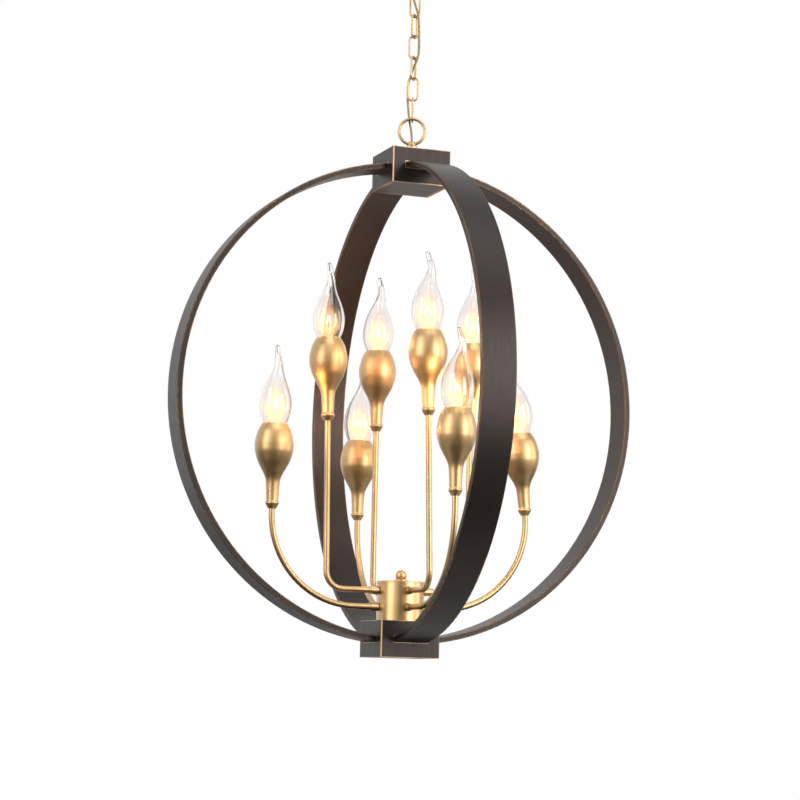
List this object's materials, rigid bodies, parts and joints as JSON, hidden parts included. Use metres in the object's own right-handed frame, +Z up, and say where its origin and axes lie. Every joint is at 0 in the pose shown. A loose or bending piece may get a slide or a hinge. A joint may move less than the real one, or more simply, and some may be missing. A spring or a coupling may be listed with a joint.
{
  "type": "orb chandelier",
  "caption": "Hanging orb chandelier: crossed hoops between square blocks, candle lamps in tulip cups on bent arms from a hub, on a link chain with a canopy.",
  "frame": {"origin": "on the ceiling plane, midway between the two slots of the ceiling strap", "axes": "+Z up into the ceiling, X in the plane of one hoop and along the ceiling strap, Y in the plane of the other hoop"},
  "size_m": [0.5588, 0.5588, 0.8783],
  "materials": {
    "blackened_bronze": "powder coated steel, satin blackened bronze with hand rubbed edges",
    "aged_gold": "brass, satin aged gold lacquer",
    "zinc_steel": "zinc plated steel",
    "clear_glass": "clear blown lamp glass",
    "lamp_base": "drawn brass lamp base",
    "phenolic": "moulded phenolic",
    "cord_jacket": "olive gold vinyl cord jacket",
    "wire_jacket": "vinyl wire insulation"
  },
  "bodies": {
    "canopy": {"ceiling_strap": "zinc_steel", "canopy_nipple": "zinc_steel", "canopy_locknuts": "zinc_steel", "earth_screw": "zinc_steel", "canopy_shell": "aged_gold", "canopy_ring_nut": "aged_gold", "canopy_loop": "aged_gold", "supply_cord": "cord_jacket"},
    "orb": {"top_loop": "aged_gold", "top_nipple": "zinc_steel", "frame_locknuts": "zinc_steel", "top_block": "blackened_bronze", "top_block_cover": "blackened_bronze", "bottom_block": "blackened_bronze", "bottom_block_cover": "blackened_bronze", "hoop_right": "blackened_bronze", "hoop_rear": "blackened_bronze", "hoop_left": "blackened_bronze", "hoop_front": "blackened_bronze", "hoop_saddles": "zinc_steel", "hoop_screws": "zinc_steel", "hub_lower_shell": "aged_gold", "hub_upper_shell": "aged_gold", "hub_lid": "aged_gold", "hub_tie_rod": "zinc_steel", "hub_finial": "aged_gold", "arm_collars": "aged_gold", "arm_nuts": "zinc_steel", "lampholders": "phenolic", "internal_wiring": "wire_jacket", "terminal_blocks": "phenolic", "inner_arms": "aged_gold", "outer_arms": "aged_gold", "inner_cups": "aged_gold", "outer_cups": "aged_gold"},
    "link_1": {"chain_link_1": "aged_gold"},
    "link_2": {"chain_link_2": "aged_gold"},
    "link_3": {"chain_link_3": "aged_gold"},
    "link_4": {"chain_link_4": "aged_gold"},
    "link_5": {"chain_link_5": "aged_gold"},
    "link_6": {"chain_link_6": "aged_gold"},
    "link_7": {"chain_link_7": "aged_gold"},
    "bulb_inner_left": {"bulb_glass_inner_left": "clear_glass", "bulb_base_inner_left": "lamp_base"},
    "bulb_inner_rear": {"bulb_glass_inner_rear": "clear_glass", "bulb_base_inner_rear": "lamp_base"},
    "bulb_inner_front": {"bulb_glass_inner_front": "clear_glass", "bulb_base_inner_front": "lamp_base"},
    "bulb_inner_right": {"bulb_glass_inner_right": "clear_glass", "bulb_base_inner_right": "lamp_base"},
    "bulb_outer_left": {"bulb_glass_outer_left": "clear_glass", "bulb_base_outer_left": "lamp_base"},
    "bulb_outer_rear": {"bulb_glass_outer_rear": "clear_glass", "bulb_base_outer_rear": "lamp_base"},
    "bulb_outer_front": {"bulb_glass_outer_front": "clear_glass", "bulb_base_outer_front": "lamp_base"},
    "bulb_outer_right": {"bulb_glass_outer_right": "clear_glass", "bulb_base_outer_right": "lamp_base"}
  },
  "joints": [
    {"name": "link_7_swing", "type": "hinge", "parent": "canopy", "child": "link_7", "pos_m": [0, 0, -0.0734], "axis": [0.9354, -0.3535, 0], "range_deg": [-15, 15], "deforming": ["supply_cord"]},
    {"name": "link_6_swing", "type": "hinge", "parent": "link_7", "child": "link_6", "pos_m": [0, 0, -0.0981], "axis": [0.5105, 0.8599, 0], "range_deg": [-15, 15], "deforming": ["supply_cord"]},
    {"name": "link_5_swing", "type": "hinge", "parent": "link_6", "child": "link_5", "pos_m": [0, 0, -0.1234], "axis": [0.8599, -0.5105, 0], "range_deg": [-15, 15], "deforming": ["supply_cord"]},
    {"name": "link_4_swing", "type": "hinge", "parent": "link_5", "child": "link_4", "pos_m": [0, 0, -0.1487], "axis": [0.7738, 0.6334, 0], "range_deg": [-15, 15], "deforming": ["supply_cord"]},
    {"name": "link_3_swing", "type": "hinge", "parent": "link_4", "child": "link_3", "pos_m": [0, 0, -0.174], "axis": [0.8121, -0.5835, 0], "range_deg": [-15, 15], "deforming": ["supply_cord"]},
    {"name": "link_2_swing", "type": "hinge", "parent": "link_3", "child": "link_2", "pos_m": [0, 0, -0.1993], "axis": [0.7157, 0.6984, 0], "range_deg": [-15, 15], "deforming": ["supply_cord"]},
    {"name": "link_1_swing", "type": "hinge", "parent": "link_2", "child": "link_1", "pos_m": [0, 0, -0.2246], "axis": [0.9354, -0.3535, 0], "range_deg": [-15, 15], "deforming": ["supply_cord"]},
    {"name": "orb_swing", "type": "hinge", "parent": "link_1", "child": "orb", "pos_m": [0, 0, -0.2499], "axis": [0.3535, 0.9354, 0], "range_deg": [-15, 15], "deforming": ["supply_cord"]},
    {"name": "bulb_inner_left_unscrew", "type": "slide", "parent": "orb", "child": "bulb_inner_left", "axis": [0, 0.0558, 0.9984], "range_m": [0, 0.034]},
    {"name": "bulb_inner_rear_unscrew", "type": "slide", "parent": "orb", "child": "bulb_inner_rear", "axis": [-0.0035, 0, 1], "range_m": [0, 0.034]},
    {"name": "bulb_inner_front_unscrew", "type": "slide", "parent": "orb", "child": "bulb_inner_front", "axis": [-0.0314, 0, 0.9995], "range_m": [0, 0.034]},
    {"name": "bulb_inner_right_unscrew", "type": "slide", "parent": "orb", "child": "bulb_inner_right", "axis": [0, 0, 1], "range_m": [0, 0.034]},
    {"name": "bulb_outer_left_unscrew", "type": "slide", "parent": "orb", "child": "bulb_outer_left", "axis": [0, -0.0175, 0.9998], "range_m": [0, 0.034]},
    {"name": "bulb_outer_rear_unscrew", "type": "slide", "parent": "orb", "child": "bulb_outer_rear", "axis": [-0.0052, 0, 1], "range_m": [0, 0.034]},
    {"name": "bulb_outer_front_unscrew", "type": "slide", "parent": "orb", "child": "bulb_outer_front", "axis": [0, 0, 1], "range_m": [0, 0.034]},
    {"name": "bulb_outer_right_unscrew", "type": "slide", "parent": "orb", "child": "bulb_outer_right", "axis": [-0.1045, -0.0087, 0.9945], "range_m": [0, 0.034]}
  ]
}
